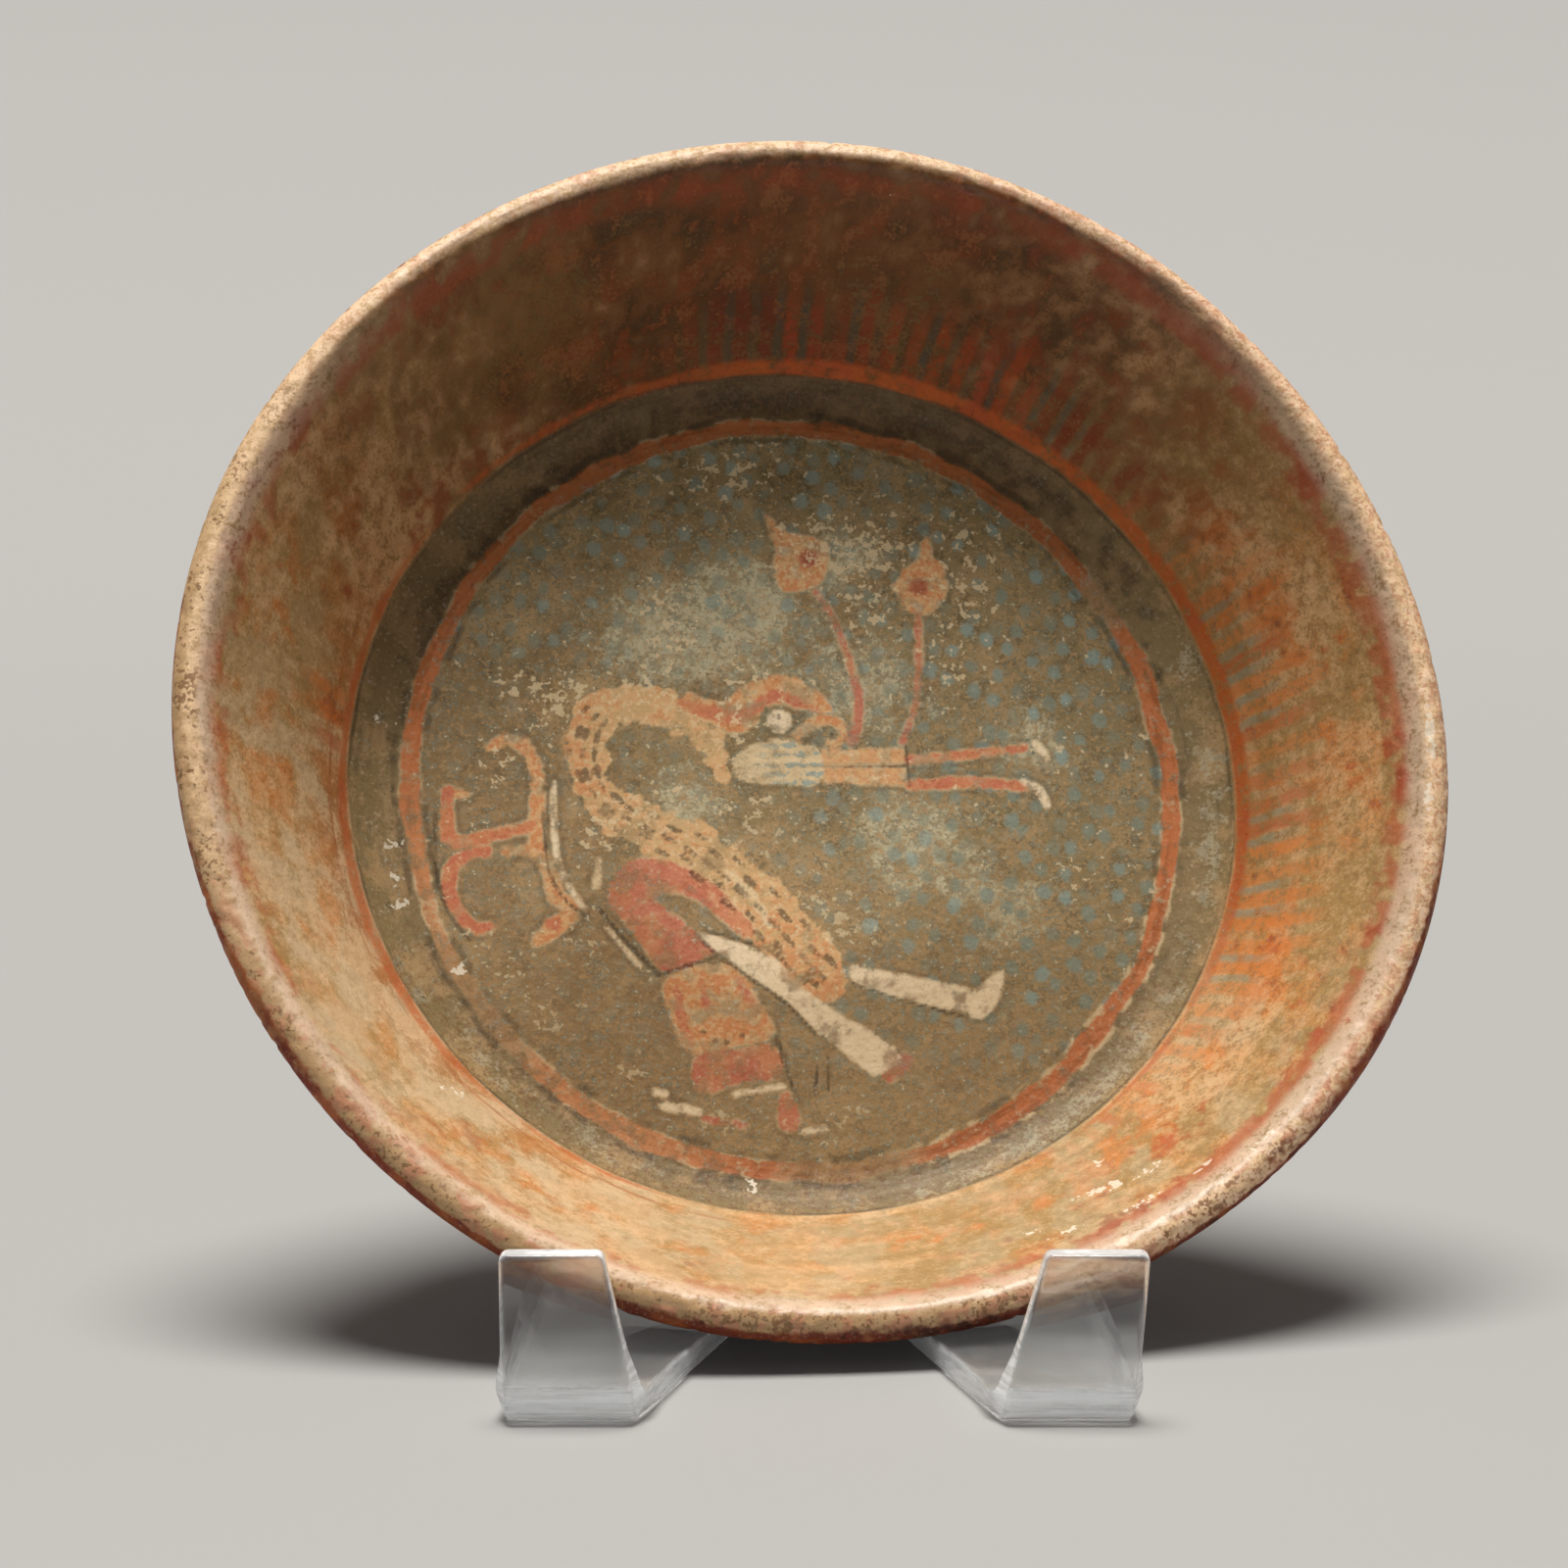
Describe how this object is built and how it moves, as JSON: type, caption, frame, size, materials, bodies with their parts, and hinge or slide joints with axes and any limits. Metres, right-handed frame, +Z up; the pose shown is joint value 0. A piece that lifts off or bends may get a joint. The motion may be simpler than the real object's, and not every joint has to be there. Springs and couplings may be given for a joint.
{
  "type": "painted pottery bowl on an easel",
  "caption": "Wide shallow fired-clay bowl with a flat painted floor and a flaring wall, standing on its edge and held up by a clear bent acrylic easel.",
  "frame": {"origin": "on the table, under the middle of the whole object's box", "axes": "+Z up; -Y is the front, where the bowl opens; +X is the viewer's right"},
  "size_m": [0.2832, 0.2344, 0.2583],
  "materials": {
    "fired_clay": "painted slip, burnished and worn",
    "clear_acrylic": "clear, polished"
  },
  "bodies": {
    "root": {"bowl": "fired_clay", "easel": "clear_acrylic"}
  },
  "joints": []
}
